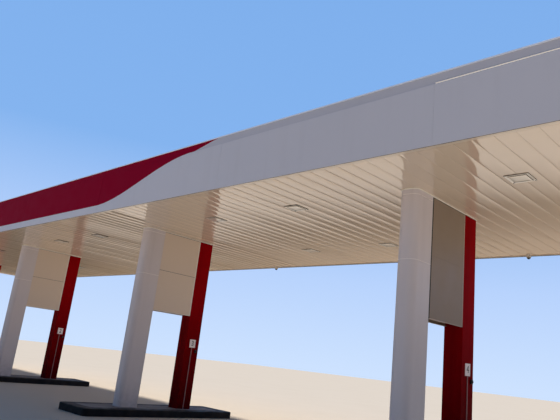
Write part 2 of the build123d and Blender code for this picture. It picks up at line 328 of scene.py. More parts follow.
def island_concrete():
    """Trowelled concrete inside the kerb, stained and pitted."""
    grey = srgb(118, 114, 116)
    finish = Finish("island_concrete", grey, 0.8)
    finish.tint(finish.ramp(finish.noise(1.6, 7.0), 0.38, 0.7, 0.0, 0.8), srgb(88, 84, 86))
    finish.tint(finish.ramp(finish.noise(24.0, 8.0, rough=0.75), 0.6, 0.75, 0.0, 0.7), srgb(60, 57, 58))
    finish.roughen(finish.noise(4.0, 5.0), 0.65, 0.9)
    finish.bump(finish.noise(90.0, 8.0, rough=0.7), 0.4, 0.002)
    return finish.material


def zinc_sheet():
    """Weathered zinc coated sheet with spangle and water marks."""
    zinc = srgb(142, 146, 149)
    finish = Finish("zinc_coated_sheet", zinc, 0.6, metallic=0.4)
    finish.tint(finish.ramp(finish.noise(0.5, 6.0), 0.4, 0.7, 0.0, 0.6), srgb(122, 124, 122))
    finish.tint(finish.ramp(finish.noise(7.0, 6.0, (1, 0.1, 1)), 0.55, 0.8, 0.0, 0.5), srgb(118, 108, 94))
    finish.roughen(finish.noise(30.0, 4.0), 0.52, 0.75)
    finish.bump(finish.noise(45.0, 4.0), 0.15, 0.001)
    return finish.material


def primed_steel():
    """Grey primed structural steel."""
    grey = srgb(112, 115, 118)
    finish = Finish("primed_steel", grey, 0.6)
    finish.tint(finish.ramp(finish.noise(3.0, 6.0), 0.45, 0.75, 0.0, 0.6), srgb(92, 86, 80))
    finish.tint(finish.ramp(finish.noise(16.0, 8.0), 0.62, 0.78, 0.0, 0.8), srgb(104, 66, 44))
    finish.roughen(finish.noise(12.0, 4.0), 0.5, 0.75)
    finish.bump(finish.noise(90.0, 4.0), 0.2, 0.001)
    return finish.material


def frosted_lens():
    """Frosted lamp glass, unlit, with a faint prism pattern."""
    finish = Finish("frosted_lens", srgb(250, 240, 224), 0.28, coat=1.0)
    finish.tint(finish.ramp(finish.noise(6.0), 0.4, 0.7, 0.0, 0.5), srgb(226, 212, 192))
    prisms = finish.nodes.new("ShaderNodeTexVoronoi")
    prisms.inputs["Scale"].default_value = 90.0
    finish.links.new(finish.place, prisms.inputs["Vector"])
    finish.bump(prisms.outputs["Distance"], 0.25, 0.002)
    return finish.material


def moulded_plastic(name, colour, roughness):
    """Fine grained moulded plastic."""
    finish = Finish(name, colour, roughness)
    finish.tint(finish.ramp(finish.noise(12.0, 4.0), 0.4, 0.7, 0.0, 0.5), darker(colour, 0.82))
    finish.roughen(finish.noise(20.0, 3.0), roughness - 0.06, roughness + 0.12)
    finish.bump(finish.noise(400.0, 2.0), 0.12, 0.0005)
    return finish.material


def flag_cloth(name, colour):
    """Plain matt cloth."""
    finish = Finish(name, colour, 0.9, specular=0.0)
    finish.tint(finish.ramp(finish.noise(0.3), 0.4, 0.7, 0.0, 0.4), darker(colour, 0.85))
    return finish.material


def graded_cloth():
    """Matt cloth that goes from pale through dark to brown along Y."""
    finish = Finish("graded_flag_cloth", srgb(212, 202, 188), 0.9, specular=0.0)
    split = finish.nodes.new("ShaderNodeSeparateXYZ")
    finish.links.new(finish.place, split.inputs["Vector"])
    along = split.outputs["Y"]
    finish.tint(finish.ramp(along, 9.2, 15.0), srgb(50, 45, 41))
    finish.tint(finish.ramp(along, 18.0, 22.0), srgb(116, 105, 94))
    return finish.material


def floor_paint():
    """Plain pale floor."""
    finish = Finish("plain_floor", srgb(186, 178, 166), 0.9, specular=0.0)
    finish.tint(finish.ramp(finish.noise(0.4, 4.0), 0.4, 0.7, 0.0, 0.3), srgb(180, 171, 158))
    return finish.material


DUST = srgb(150, 140, 134)
WHITE = coated_sheet("white_cladding_paint", srgb(220, 211, 213), 0.36, DUST)
# Red columns: the dark red tint low down, nearly even and reaching 3.4 m, is painted shade; the streaks share
# its colour.
RED = coated_sheet(
    "red_cladding_paint", srgb(146, 2, 11), 0.5, srgb(46, 0, 3), 0.85, 3.4, even=0.8, coat=0.0, specular=0.01
)
PANEL_GREY = coated_sheet("panel_grey_paint", srgb(148, 130, 112), 0.38, srgb(120, 110, 102), 0.0, coat=0.0)
PANEL_BEIGE = coated_sheet("panel_beige_paint", srgb(228, 209, 190), 0.38, srgb(180, 160, 140), 0.0, coat=0.0)
FASCIA_WHITE = coated_sheet("fascia_white_paint", srgb(213, 210, 216), 0.42, DUST, 0.15)
# Upper strip: a greyer copy of the fascia white, as painted shade.
STRIP_WHITE_SHADED = coated_sheet("upper_strip_painted_shade", srgb(200, 197, 204), 0.42, DUST, 0.15)
FASCIA_RED = coated_sheet(
    "fascia_red_paint", srgb(146, 2, 41), 0.5, srgb(104, 8, 34), 0.1, coat=0.0, specular=0.01
)
FOLD_METAL = coated_sheet("fold_bright_metal", srgb(246, 243, 238), 0.2, DUST, 0.0, metallic=1.0)
# Dark strip beside the white column on the last island: painted shade in the recess.
RECESS_SHADE = moulded_plastic("recess_painted_shade", srgb(26, 21, 18), 0.7)
SHEET_SEAM = moulded_plastic("sheet_seam_filler", srgb(112, 98, 86), 0.6)
# Coping: white with a painted bluish highlight of the sky.
COPING_WHITE_HIGHLIGHT = coated_sheet("coping_painted_highlight", srgb(236, 242, 255), 0.3, srgb(204, 206, 214), 0.1)
CREAM_TRIM = coated_sheet("cream_trim_paint", srgb(253, 247, 236), 0.3, srgb(196, 182, 160), 0.05, coat=1.0)
# Ring lips: a whiter copy of the cladding paint, as painted highlight along the lips.
RING_WHITE_HIGHLIGHT = coated_sheet("column_ring_painted_highlight", srgb(244, 236, 234), 0.3, DUST, 0.05)
PANEL_TRIM = coated_sheet("panel_trim_paint", srgb(186, 166, 154), 0.3, srgb(160, 144, 134), 0.05)
LIP_CREAM = coated_sheet("fascia_lip_paint", srgb(232, 216, 196), 0.3, srgb(180, 166, 148), 0.1, coat=0.5)
CEILING_CREAM = ceiling_paint()
# Painted shade in the gap above the planks and on the fascia's drip edges.
GAP_PAINTED_SHADE = seam_shadow()
KERB = kerb_paint()
CONCRETE = island_concrete()
ZINC = zinc_sheet()
STEEL = primed_steel()
LENS = frosted_lens()
LIGHT_RIM = coated_sheet("light_rim_paint", srgb(254, 246, 232), 0.3, srgb(206, 192, 170), 0.05, coat=1.0)
# Side walls of the light rims and lenses: painted shade.
RIM_SIDE_SHADE = moulded_plastic("light_rim_side_painted_shade", srgb(112, 95, 76), 0.5)
DUCT = moulded_plastic("duct_plastic", srgb(156, 108, 106), 0.5)
BUTTON = moulded_plastic("button_plastic", srgb(26, 25, 27), 0.38)
# Dark clips; the same material is painted shadow round the light rims and under the ceiling trim.
CLIP_AND_SHADE = moulded_plastic("dark_clip_and_painted_shade", srgb(34, 28, 24), 0.5)
CAMERA_WHITE = moulded_plastic("camera_plastic", srgb(206, 200, 192), 0.35)
DOME_DARK = moulded_plastic("smoked_dome_plastic", srgb(20, 21, 24), 0.14)
PLATE = coated_sheet("number_plate_paint", srgb(250, 238, 236), 0.4, DUST, 0.05)
# Flag under the canopy: painted shadow of the canopy's shade on the floor, seen in reflections.
SHADOW_FLAG = flag_cloth("painted_shadow_flag_cloth", srgb(56, 50, 46))
BLACK_FLAG = flag_cloth("black_flag_cloth", srgb(24, 22, 20))
OLIVE_FLAG = flag_cloth("olive_flag_cloth", srgb(64, 66, 54))
GRADED_FLAG = graded_cloth()
FLOOR = floor_paint()


# Mesh helpers

def new_piece(name, points, faces, materials, indices=None, smooth=False):
    """Mesh piece that rides on the body, with a material index for each face."""
    mesh = bpy.data.meshes.new(name)
    mesh.from_pydata(points, [], faces)
    for material in materials:
        mesh.materials.append(material)
    if indices:
        mesh.polygons.foreach_set("material_index", indices)
    if smooth:
        mesh.polygons.foreach_set("use_smooth", [True] * len(faces))
    mesh.validate()
    mesh.update()
    piece = bpy.data.objects.new(name, mesh)
    bpy.context.scene.collection.objects.link(piece)
    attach(piece, "root")
    return piece


class Builder:
    """Gathers points and faces for one piece."""

    def __init__(self):
        self.points = []
        self.faces = []
        self.indices = []

    def face(self, corners, index=0):
        start = len(self.points)
        self.points.extend(corners)
        self.faces.append(tuple(range(start, start + len(corners))))
        self.indices.append(index)

    def grid(self, rows, index=0, flip=False, closed=False):
        """Faces over a grid of points given as rows of equal length, closed round each row if asked."""
        start = len(self.points)
        width = len(rows[0])
        for row in rows:
            self.points.extend(row)
        for r in range(len(rows) - 1):
            for c in range(width if closed else width - 1):
                a = start + r * width + c
                b = start + r * width + (c + 1) % width
                face = (a, b, b + width, a + width)
                self.faces.append(face[::-1] if flip else face)
                self.indices.append(index(r, c) if callable(index) else index)

    def box(self, low, high, index=0):
        """Closed box between two corners."""
        (x0, y0, z0), (x1, y1, z1) = low, high
        a = len(self.points)
        self.points.extend(
            [(x0, y0, z0), (x1, y0, z0), (x1, y1, z0), (x0, y1, z0),
             (x0, y0, z1), (x1, y0, z1), (x1, y1, z1), (x0, y1, z1)]
        )
        for face in ((3, 2, 1, 0), (4, 5, 6, 7), (0, 1, 5, 4), (1, 2, 6, 5), (2, 3, 7, 6), (3, 0, 4, 7)):
            self.faces.append(tuple(a + i for i in face))
            self.indices.append(index)

    def lathe(self, centre, profile, index=0, steps=24):
        """Turned surface about an upright axis, from pairs of radius and height, closed at its last point."""
        rows = []
        for radius, height in profile:
            row = []
            for s in range(steps):
                angle = 2 * math.pi * s / steps
                x, y = radius * math.cos(angle), radius * math.sin(angle)
                row.append((centre[0] + x, centre[1] + y, centre[2] + height))
            rows.append(row)
        self.grid(rows, index, closed=True)

    def piece(self, name, materials, smooth=False):
        return new_piece(name, self.points, self.faces, materials, self.indices, smooth=smooth)


def bevelled(piece, width, segments=2):
    """Rounds the sharp edges of a piece."""
    modifier = piece.modifiers.new("edges", "BEVEL")
    modifier.width = width
    modifier.segments = segments
    modifier.limit_method = "ANGLE"
    return piece


# Finishes of the pieces that keep their CAD shape

def dress(node, material):
    """Gives a CAD node its material."""
    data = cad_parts[node].data
    data.materials.clear()
    data.materials.append(material)


def dress_all():
    for i in range(1, ISLAND_COUNT + 1):
        dress(f"white_column_{i}", WHITE)
        dress(f"red_column_{i}", RED)
        dress(f"hanging_panels_{i}", PANEL_GREY if i == ISLAND_COUNT else PANEL_BEIGE)
        dress(f"ceiling_trim_{i}", CREAM_TRIM)
        dress(f"steel_posts_{i}", STEEL)
        dress(f"girder_{i}", STEEL)
    for node in ("fascia_studs", "edge_beams", "end_girders"):
        dress(node, STEEL)
    for node in ("purlins", "gutter", "roof_deck"):
        dress(node, ZINC)
    dress("cable_ducts", DUCT)


# Ceiling planks

def plank_side(half, crown, power):
    """Points from the middle of a plank to one edge: a crown that steepens, a tight roll and an upright."""
    lean = math.atan(power * crown / half)
    inner = half - PLANK_EDGE * (1 - math.sin(lean))
    points = [(inner * n / 8, crown * (n / 8) ** power) for n in range(9)]
    for n in range(1, 4):
        angle = lean + (math.pi / 2 - lean) * n / 3
        out = PLANK_EDGE * (math.sin(angle) - math.sin(lean))
        points.append((inner + out, crown + PLANK_EDGE * (math.cos(lean) - math.cos(angle))))
    points.append((half, PLANK_WALL))
    return points


def plank_profile(half):
    """Points across one plank: distance from its middle and height above its lowest line."""
    left, right = (plank_side(half, crown, power) for crown, power in PLANK_CROWNS)
    return [(-x, z) for x, z in reversed(left[1:])] + right


def ceiling_planks():
    """Planks from front to rear, each slightly crowned, with rolled edges and an open joint."""
    chance = random.Random(7)
    count = round((SOFFIT_HIGH.x - SOFFIT_LOW.x) / PLANK_PITCH) + 1
    profile = plank_profile((PLANK_PITCH - PLANK_GAP) / 2)
    steps = 30
    built = Builder()
    for n in range(count):
        middle = SOFFIT_LOW.x + PLANK_SHIFT + (n + 0.5) * PLANK_PITCH
        tilt = chance.uniform(-0.010, 0.010)
        vary = chance.uniform(0.75, 1.25)
        if middle > FLAT_PLANKS_FROM:
            vary *= 0.5
        elif middle < LOOSE_PLANKS_TO:
            tilt *= LOOSE_TILT
        twist = chance.uniform(-0.0015, 0.0015)
        phase = chance.uniform(0, 2 * math.pi)
        length = chance.uniform(1.2, 3.0)
        sway = chance.uniform(0.0002, 0.0008)
        spare = (abs(tilt) + abs(twist) * HALF_DEPTH) * PLANK_PITCH / 2
        rows = []
        for s in range(steps + 1):
            y = SOFFIT_LOW.y + (SOFFIT_HIGH.y - SOFFIT_LOW.y) * s / steps
            lift = CEILING + spare + sway * (1 + math.sin(2 * math.pi * y / length + phase))
            slope = tilt + twist * y
            row = []
            for x, z in profile:
                across = min(SOFFIT_HIGH.x, max(SOFFIT_LOW.x, middle + x))
                row.append((across, y, lift + min(z * vary, PLANK_WALL) + slope * (across - middle)))
            rows.append(row)
        built.grid(rows, index=0)
    # Dark box above the planks: painted shade seen through the open joints.
    low = (SOFFIT_LOW.x, SOFFIT_LOW.y, CEILING + DARK_SPACE_RISE)
    built.box(low, tuple(SOFFIT_HIGH), index=1)
    piece = built.piece("ceiling_planks", [CEILING_CREAM, GAP_PAINTED_SHADE], smooth=True)
    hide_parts("soffit")


# Fascia

def red_lower_edge(x):
    """Height of the red area's lower edge above the fascia's lower edge, at a place along the length."""
    share = min(1.0, max(0.0, (x - RED_CURVE_START) / (RED_CURVE_END - RED_CURVE_START)))
    height = RED_BAND_RISE + (FOLD_RISE - RED_BAND_RISE) * share * share * (3 - 2 * share)
    if x > RED_CURVE_END:
        height = FOLD_RISE + (x - RED_CURVE_END) / RED_TIP_RUN * (FASCIA_TOP - FASCIA_BOTTOM - FOLD_RISE)
    return height


def joint_places():
    """Places of the upright joints along X, within the length."""
    first = JOINT_PLACE - math.floor((JOINT_PLACE + HALF_LENGTH) / JOINT_PITCH) * JOINT_PITCH
    places = [first + n * JOINT_PITCH for n in range(20)]
    return [x for x in places if abs(x) < HALF_LENGTH - 0.3]


def stations(half_run, joints):
    """Places along a side, from end to end, each with how far in the face lies there."""
    half_joint = JOINT_WIDTH / 2
    found = [(-half_run, 0.0), (half_run, 0.0)]
    count = round(2 * half_run / FASCIA_STEP)
    for n in range(1, count):
        place = -half_run + 2 * half_run * n / count
        if all(abs(place - joint) > 0.02 for joint in joints):
            found.append((place, 0.0))
    for joint in joints:
        found += [
            (joint - half_joint - 0.001, 0.0), (joint - half_joint, JOINT_DEPTH),
            (joint + half_joint, JOINT_DEPTH), (joint + half_joint + 0.001, 0.0),
        ]
    return sorted(found)


class FasciaSide:
    """One mitred side of the fascia, turned about the middle of the roof."""

    def __init__(self, half_run, reach, turn, joints):
        self.half_run = half_run
        self.reach = reach
        self.turn = Matrix.Rotation(math.radians(turn), 3, "Z")
        self.stations = stations(half_run, joints)
        self.built = Builder()

    def point(self, place, inset, rise):
        """Point at a place along the side, in from its outer face and up from its lower edge."""
        edge = self.half_run - inset
        along = max(-edge, min(edge, place)) if abs(place) > self.half_run - 0.1 else place
        corner = self.turn @ Vector((along, -self.reach + inset, 0))
        return (corner.x, corner.y, FASCIA_BOTTOM + rise)

    def world_x(self, place):
        return (self.turn @ Vector((place, -self.reach, 0))).x

    def run(self, profile, index):
        """Plain faces along the side over a profile of insets and rises."""
        ends = (-self.half_run, self.half_run)
        rows = [[self.point(end, inset, rise) for end in ends] for inset, rise in profile]
        self.built.grid(rows, index)

    def band(self, low, high, inset, grooved, coloured, plain=0):
        """Upright band, split by the lower edge of the red area where it is coloured."""
        for (a, in_a), (b, in_b) in zip(self.stations, self.stations[1:]):
            groove = (in_a, in_b) if grooved else (0.0, 0.0)
            if not coloured:
                splits = (high, high)
            else:
                splits = [min(high, max(low, red_lower_edge(self.world_x(p)))) for p in (a, b)]
            for bottoms, tops, index in (((low, low), splits, plain), (splits, (high, high), 1)):
                if tops[0] - bottoms[0] + tops[1] - bottoms[1] < 1e-5:
                    continue
                in_low, in_high = inset + groove[0], inset + groove[1]
                corners = [
                    self.point(a, in_low, bottoms[0]), self.point(b, in_high, bottoms[1]),
                    self.point(b, in_high, tops[1]), self.point(a, in_low, tops[0]),
                ]
                self.built.face(corners, index)

    def ledge(self, profile, coloured):
        """Faces over a short profile, red where the band below it ends in red."""
        for (a, _), (b, _) in zip(self.stations, self.stations[1:]):
            middle = self.world_x((a + b) / 2)
            red = coloured and red_lower_edge(middle) < FOLD_RISE - 0.001
            for (inset_a, rise_a), (inset_b, rise_b) in zip(profile, profile[1:]):
                corners = [
                    self.point(a, inset_a, rise_a), self.point(b, inset_a, rise_a),
                    self.point(b, inset_b, rise_b), self.point(a, inset_b, rise_b),
                ]
                self.built.face(corners, 1 if red else 0)


def fascia_piece(name, half_run, reach, turn, joints, coloured, drip=0.016):
    """Whole side: lip whose drip edge is painted shade, face band with joints, upper strip, coping and back.
    """
    side = FasciaSide(half_run, reach, turn, joints)
    height = FASCIA_TOP - FASCIA_BOTTOM
    coping_low = height - COPING_HEIGHT
    soft = 0.002
    side.run([(LIP_RUN, LIP_HEIGHT), (LIP_RUN, soft), (LIP_RUN - soft, 0.0), (drip, 0.0)], 3)
    # Drip edge under the lip: painted shade.
    side.run([(drip, 0.0), (soft, 0.0)], 4)
    side.run([(soft, 0.0), (0.0, soft)], 0)
    side.band(soft, FOLD_RISE - 0.004, 0.0, True, coloured)
    fold = [(0.0, FOLD_RISE - 0.004), (0.003, FOLD_RISE - 0.001), (STRIP_INSET, FOLD_RISE)]
    side.ledge(fold, coloured)
    # Upper strip in its greyer white, which is painted shade.
    side.band(FOLD_RISE, coping_low, STRIP_INSET, False, coloured, plain=5)
    outer, inner = COPING_INSET, COPING_INSET + COPING_DEPTH
    coping = [
        (STRIP_INSET, coping_low), (outer + soft, coping_low), (outer, coping_low + soft),
        (outer, height - 0.012), (outer + 0.004, height - 0.004), (outer + 0.012, height),
        (inner - soft, height), (inner, height - soft), (inner, coping_low), (SHEET_INSET, coping_low),
    ]
    side.run(coping, 2)
    side.run([(SHEET_INSET, coping_low), (SHEET_INSET, LIP_HEIGHT), (LIP_RUN, LIP_HEIGHT)], 0)
    finishes = [FASCIA_WHITE, FASCIA_RED, COPING_WHITE_HIGHLIGHT, LIP_CREAM, GAP_PAINTED_SHADE, STRIP_WHITE_SHADED]
    piece = side.built.piece(f"{name}_sheets", finishes)
    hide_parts(name)


def fascia():
    joints = joint_places()
    fascia_piece("front_fascia", HALF_LENGTH, HALF_DEPTH, 0, joints, True)
    fascia_piece("rear_fascia", HALF_LENGTH, HALF_DEPTH, 180, [-x for x in joints], True, drip=0.085)
    fascia_piece("right_fascia", HALF_DEPTH, HALF_LENGTH, 90, [-1.25, 1.25], False)
    fascia_piece("left_fascia", HALF_DEPTH, HALF_LENGTH, 270, [-1.25, 1.25], True)


# Bright strip along the fold of the right-hand front panel

def fold_strip():
    """Bright metal drip bead on the fold, from the joint that shows to the right end."""
    built = Builder()
    start, end = JOINT_PLACE + 0.01, HALF_LENGTH - 0.012
    y = -HALF_DEPTH
    z = FASCIA_BOTTOM + FOLD_RISE
    profile = [
        (STRIP_INSET, 0.001), (0.0080, 0.001), (0.0058, 0.004), (0.0034, 0.008), (0.0012, 0.0115),
        (0.0008, 0.0130), (0.0015, 0.0140), (STRIP_INSET, 0.0140),
    ]
    rows = [[(x, y + inset, z + rise) for x in (start, end)] for inset, rise in profile]
    built.grid(rows)
    for x in (start, end):
        built.face([(x, y + inset, z + rise) for inset, rise in profile])
    piece = built.piece("fold_strip", [FOLD_METAL])


# Islands

def rounded_outline(half_x, half_y, radius, steps=6, rear_radius=None):
    """Points round a rectangle with rounded corners, anticlockwise."""
    points = []
    for corner, (sx, sy) in enumerate(((1, -1), (1, 1), (-1, 1), (-1, -1))):
        bend = rear_radius if rear_radius is not None and sy > 0 else radius
        for s in range(steps + 1):
            angle = math.radians(-90 + 90 * corner + 90 * s / steps)
            x = sx * (half_x - bend) + bend * math.cos(angle)
            y = sy * (half_y - bend) + bend * math.sin(angle)
            points.append((x, y))
    return points


def island_piece(i, low, high):
    """Kerb with a worn edge, a shallow groove inside it and concrete within."""
    centre_x, centre_y = (low.x + high.x) / 2, (low.y + high.y) / 2
    half_x, half_y = (high.x - low.x) / 2, (high.y - low.y) / 2
    top = high.z
    loops = [
        (0.0, 0.0), (0.0, top - 0.018), (0.003, top - 0.009), (0.009, top - 0.003), (0.018, top),
        (KERB_BAND, top), (KERB_BAND + 0.003, top - 0.006), (KERB_BAND + 0.009, top - 0.006),
        (KERB_BAND + 0.012, top),
    ]
    built = Builder()
    rows = []
    for inset, z in loops:
        outline = rounded_outline(half_x - inset, half_y - inset, max(KERB_RADIUS - inset, 0.02))
        rows.append([(centre_x + x, centre_y + y, z) for x, y in outline])
    built.grid(rows, index=lambda r, c: 1 if r >= 5 else 0, closed=True)
    built.face(rows[-1], 1)
    built.face(rows[0][::-1], 0)
    piece = built.piece(f"island_{i}_kerb", [KERB, CONCRETE])
    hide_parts(f"island_{i}")


def islands():
    for i, (low, high) in enumerate(ISLAND_BOXES, start=1):
        island_piece(i, low, high)


# Joint rings of the white columns

RING_HEIGHTS = (3.718, 4.908)
RING_HEIGHT = 0.014
RING_PROUD = 0.0018
WHITE_CORNER = 0.140


def column_rings():
    """Thin folded lip round the white columns above each level joint, in a whiter paint as painted highlight.
    """
    for i, (low, high) in enumerate(WHITE_BOXES, start=1):
        centre_x, centre_y = (low.x + high.x) / 2, (low.y + high.y) / 2
        half_x, half_y = (high.x - low.x) / 2, (high.y - low.y) / 2
        built = Builder()
        for z in RING_HEIGHTS:
            upper = z + RING_HEIGHT
            profile = [(-0.0005, z), (RING_PROUD, z), (RING_PROUD, upper - 0.002), (-0.0005, upper)]
            rows = []
            for out, height in profile:
                outline = rounded_outline(half_x + out, half_y - 0.001, WHITE_CORNER, 8, 0.002)
                row = [(centre_x + x, centre_y + y - max(out, 0.0) * (y < 0), height) for x, y in outline]
                rows.append(row)
            built.grid(rows, closed=True)
        piece = built.piece(f"column_rings_{i}", [RING_WHITE_HIGHLIGHT])


def trim_shadows():
    """Painted shadow under the ceiling trim, round the red columns and along the panels."""
    high, low, proud = CEILING - 0.0205, CEILING - 0.0285, 0.0012
    for i in range(ISLAND_COUNT):
        built = Builder()
        (x0, y0, _), (x1, y1, _) = RED_BOXES[i]
        rows = []
        for out, z in ((-0.0005, low), (proud, low), (proud, high), (-0.0005, high)):
            outline = rounded_outline((x1 - x0) / 2 + out, (y1 - y0) / 2, 0.002, 4)
            forward = max(out, 0.0)
            rows.append([((x0 + x1) / 2 + x, (y0 + y1) / 2 + y - forward * (y < 0), z) for x, y in outline])
        built.grid(rows, closed=True)
        panel_low, panel_high = PANEL_BOXES[i]
        start, end = WHITE_BOXES[i][1].y + 0.002, RED_BOXES[i][0].y - 0.002
        for side, face in ((-1, panel_low.x), (1, panel_high.x)):
            xs = sorted((face - side * 0.0005, face + side * proud))
            built.box((xs[0], start, low), (xs[1], end, high))
        piece = built.piece(f"trim_shadows_{i + 1}", [CLIP_AND_SHADE])


# Edge trims of the hanging panels

TRIM_WIDTH = 0.026
TRIM_PROUD = 0.002
RECESS_SHADE_WIDTH = 0.046
FOOT_HEIGHT = 0.012
SHEET_JOINT = (3.899, 3.909)


def panel_trims():
    """Painted trim at the red column and the foot of every panel, with a dark strip of painted shade beside
    the white column on the last island or a level sheet joint on the others.
    """
    for i in range(ISLAND_COUNT):
        last = i == ISLAND_COUNT - 1
        white_high = WHITE_BOXES[i][1]
        red_low = RED_BOXES[i][0]
        panel_low, panel_high = PANEL_BOXES[i]
        top = CEILING - 0.029
        trims = Builder()
        shade_and_seam_strips = Builder()
        for side, face in ((-1, panel_low.x), (1, panel_high.x)):
            xs = sorted((face - side * 0.001, face + side * TRIM_PROUD))
            start = white_high.y + 0.0003
            end = red_low.y - TRIM_WIDTH
            if last:
                # Painted shade in the recess beside the white column.
                shade_and_seam_strips.box((xs[0], start, panel_low.z), (xs[1], start + RECESS_SHADE_WIDTH, top))
            else:
                shade_and_seam_strips.box((xs[0], start, SHEET_JOINT[0]), (xs[1], end, SHEET_JOINT[1]))
            trims.box((xs[0], end, panel_low.z), (xs[1], red_low.y - 0.0003, top))
            foot = sorted((face + side * TRIM_PROUD, face - side * 0.030))
            low = (foot[0], start + RECESS_SHADE_WIDTH, panel_low.z - 0.0015)
            high = (foot[1], red_low.y - TRIM_WIDTH - 0.0005, panel_low.z + FOOT_HEIGHT)
            trims.box(low, high)
        piece = trims.piece(f"panel_trims_{i + 1}", [PANEL_TRIM if last else CREAM_TRIM])
        bevelled(piece, 0.0005)
        piece = shade_and_seam_strips.piece(f"panel_shade_and_seam_strips_{i + 1}", [RECESS_SHADE if last else SHEET_SEAM])
        bevelled(piece, 0.0005)


# Ceiling lights

def loose_centres(node):
    """Centres in plan of a node's separate solids."""
    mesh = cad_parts[node].data
    parents = list(range(len(mesh.vertices)))

    def root(v):
        while parents[v] != v:
            v = parents[v]
        return v

    merged = {}
    for v in mesh.vertices:
        key = tuple(round(c, 4) for c in v.co)
        parents[v.index] = merged.setdefault(key, v.index)
    for edge in mesh.edges:
        a, b = root(edge.vertices[0]), root(edge.vertices[1])
        parents[a] = b
    groups = {}
    for v in mesh.vertices:
        groups.setdefault(root(v.index), []).append(v.co)
    centres = []
    for points in groups.values():
        xs = [p.x for p in points]
        ys = [p.y for p in points]
        centres.append(((min(xs) + max(xs)) / 2, (min(ys) + max(ys)) / 2))
    return sorted(centres)


def square_loop(centre, half, radius, z):
    return [(centre[0] + x, centre[1] + y, z) for x, y in rounded_outline(half, half, radius, 3)]


def ceiling_lights():
    """Square fittings: bevelled rim with its side walls in painted shade, painted shadow round it and in its
    recess, frosted lens whose side wall is painted shade, and corner clips.
    """
    half = LIGHT_HALF
    opening = half - RIM_WIDTH
    rims = Builder()
    lenses = Builder()
    bottom = CEILING - LIGHT_DROP
    for centre in loose_centres("light_lenses"):
        # Thin ring of painted shadow round the rim.
        shadow_ring = [
            (half, CEILING + 0.010), (half + 0.003, CEILING + 0.010), (half + 0.003, CEILING - 0.002),
            (half + 0.002, CEILING - 0.003), (half - 0.001, CEILING - 0.003),
        ]
        rows = [square_loop(centre, h, 0.018, z) for h, z in shadow_ring]
        rims.grid(rows, index=1, closed=True)
        rim = [
            (half, CEILING + 0.006), (half, bottom + 0.002), (half - 0.003, bottom),
            (opening + 0.005, bottom + 0.002), (opening, bottom + 0.006), (opening, CEILING + 0.006),
        ]
        rows = [square_loop(centre, h, max(0.016 - (half - h), 0.006), z) for h, z in rim]
        # Rim's outer wall in painted shade and its inner wall in painted shadow.
        rims.grid(rows, index=lambda r, c: {0: 2, 4: 1}.get(r, 0), flip=True, closed=True)
        # Flat ring of painted shadow in the recess.
        recess = [square_loop(centre, h, 0.006, CEILING + 0.006) for h in (opening, 0.10)]
        rims.grid(recess, index=1, flip=True, closed=True)
        for sx in (-1, 1):
            for inset, size in CLIP_SPOTS:
                x, y = centre[0] + sx * (half - inset), centre[1] + half - inset
                low = (x - size, y - size, bottom - 0.0015)
                rims.box(low, (x + size, y + size, CEILING), index=1)
        lens_half = opening - LENS_GAP
        lens = [
            (lens_half, CEILING + 0.004), (lens_half, CEILING - 0.0135),
            (lens_half - 0.003, CEILING - 0.0150), (lens_half * 0.6, CEILING - 0.0157),
            (lens_half * 0.2, CEILING - 0.016),
        ]
        rows = [square_loop(centre, h, 0.008, z) for h, z in lens]
        lenses.grid(rows, index=lambda r, c: 1 if r == 0 else 0, flip=True, closed=True)
        lenses.face(rows[-1])
    rim_piece = rims.piece("light_rims", [LIGHT_RIM, CLIP_AND_SHADE, RIM_SIDE_SHADE])
    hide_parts("light_frames")
    lens_piece = lenses.piece("light_glasses", [LENS, RIM_SIDE_SHADE], smooth=True)
    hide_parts("light_lenses")


# Small fittings

def dome_camera_pieces():
    """Turned base with a bold ring at its foot and a smoked half dome."""
    foot = CAMERA_FOOT
    radius = CAMERA_DOME_RADIUS
    base = [
        (0.052, 0.0), (0.052, foot + 0.024), (0.0535, foot + 0.021), (0.0575, foot + 0.018),
        (0.058, foot + 0.015), (0.058, foot + 0.004), (0.0565, foot + 0.001), (0.053, foot),
        (0.047, foot), (0.046, foot + 0.003),
    ]
    dome = []
    for s in range(9):
        angle = math.radians(90 * s / 8)
        dome.append((radius * math.cos(angle) + 0.0001, foot + 0.002 - (radius + 0.002) * math.sin(angle)))
    built = Builder()
    for x, y in loose_centres("dome_cameras"):
        built.lathe((x, y, CEILING), base, 0)
        built.lathe((x, y, CEILING), dome, 1)
    piece = built.piece("dome_camera_shells", [CAMERA_WHITE, DOME_DARK], smooth=True)
    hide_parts("dome_cameras")


def stop_button_pieces():
    """Rounded switch box with a round push button."""
    low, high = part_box("stop_buttons")
    half_y, half_z = (high.y - low.y) / 2, (high.z - low.z) / 2
    y, z = (low.y + high.y) / 2, (low.z + high.z) / 2
    built = Builder()
    for i in range(ISLAND_COUNT):
        face = RED_BOXES[i][1].x
        depth = SWITCH_DEPTH
        loops = [(0.0, 0.0), (0.0, depth - 0.006), (0.002, depth - 0.002), (0.006, depth), (0.018, depth)]
        rows = []
        for inset, out in loops:
            outline = rounded_outline(half_y - inset, half_z - inset, max(0.008 - inset, 0.003), 3)
            rows.append([(face + out, y + a, z + b) for a, b in outline])
        built.grid(rows, closed=True)
        built.face(rows[-1])
        ring = []
        button = [(0.018, depth), (0.018, depth + 0.006), (0.0165, depth + 0.013), (0.010, depth + 0.016)]
        angles = [2 * math.pi * s / 20 for s in range(20)]
        for radius, out in button:
            ring.append([(face + out, y + radius * math.cos(a), z + radius * math.sin(a)) for a in angles])
        built.grid(ring, closed=True)
        built.face(ring[-1])
    piece = built.piece("stop_button_boxes", [BUTTON], smooth=False)
    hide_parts("stop_buttons")


